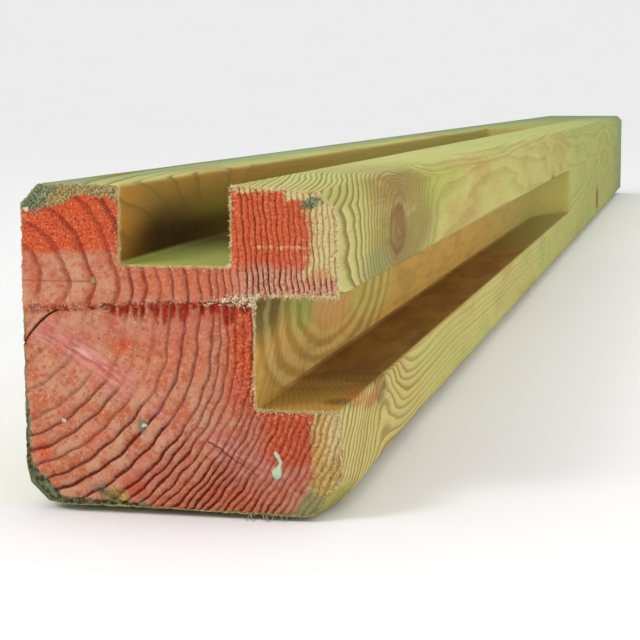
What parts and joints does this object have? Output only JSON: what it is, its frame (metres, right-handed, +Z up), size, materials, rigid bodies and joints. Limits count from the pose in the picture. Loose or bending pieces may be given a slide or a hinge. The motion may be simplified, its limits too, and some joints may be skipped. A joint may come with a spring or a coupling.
{
  "type": "slotted corner fence post",
  "caption": "Square softwood fence post, slotted along neighbouring faces to hold panels at a corner, with eased edges, one painted sawn end and a whole stretch for the ground.",
  "frame": {"origin": "middle of the post's footprint, on the surface that it lies on", "axes": "+Y along the post from the painted end to the bare end, +Z up out of the face with the top slot, +X out of the face with the side slot"},
  "size_m": [0.094, 1.8, 0.094],
  "materials": {
    "timber": "planed green-treated softwood, with worn red paint on the sawn end at -Y"
  },
  "bodies": {
    "root": {"post": "timber"}
  },
  "joints": []
}
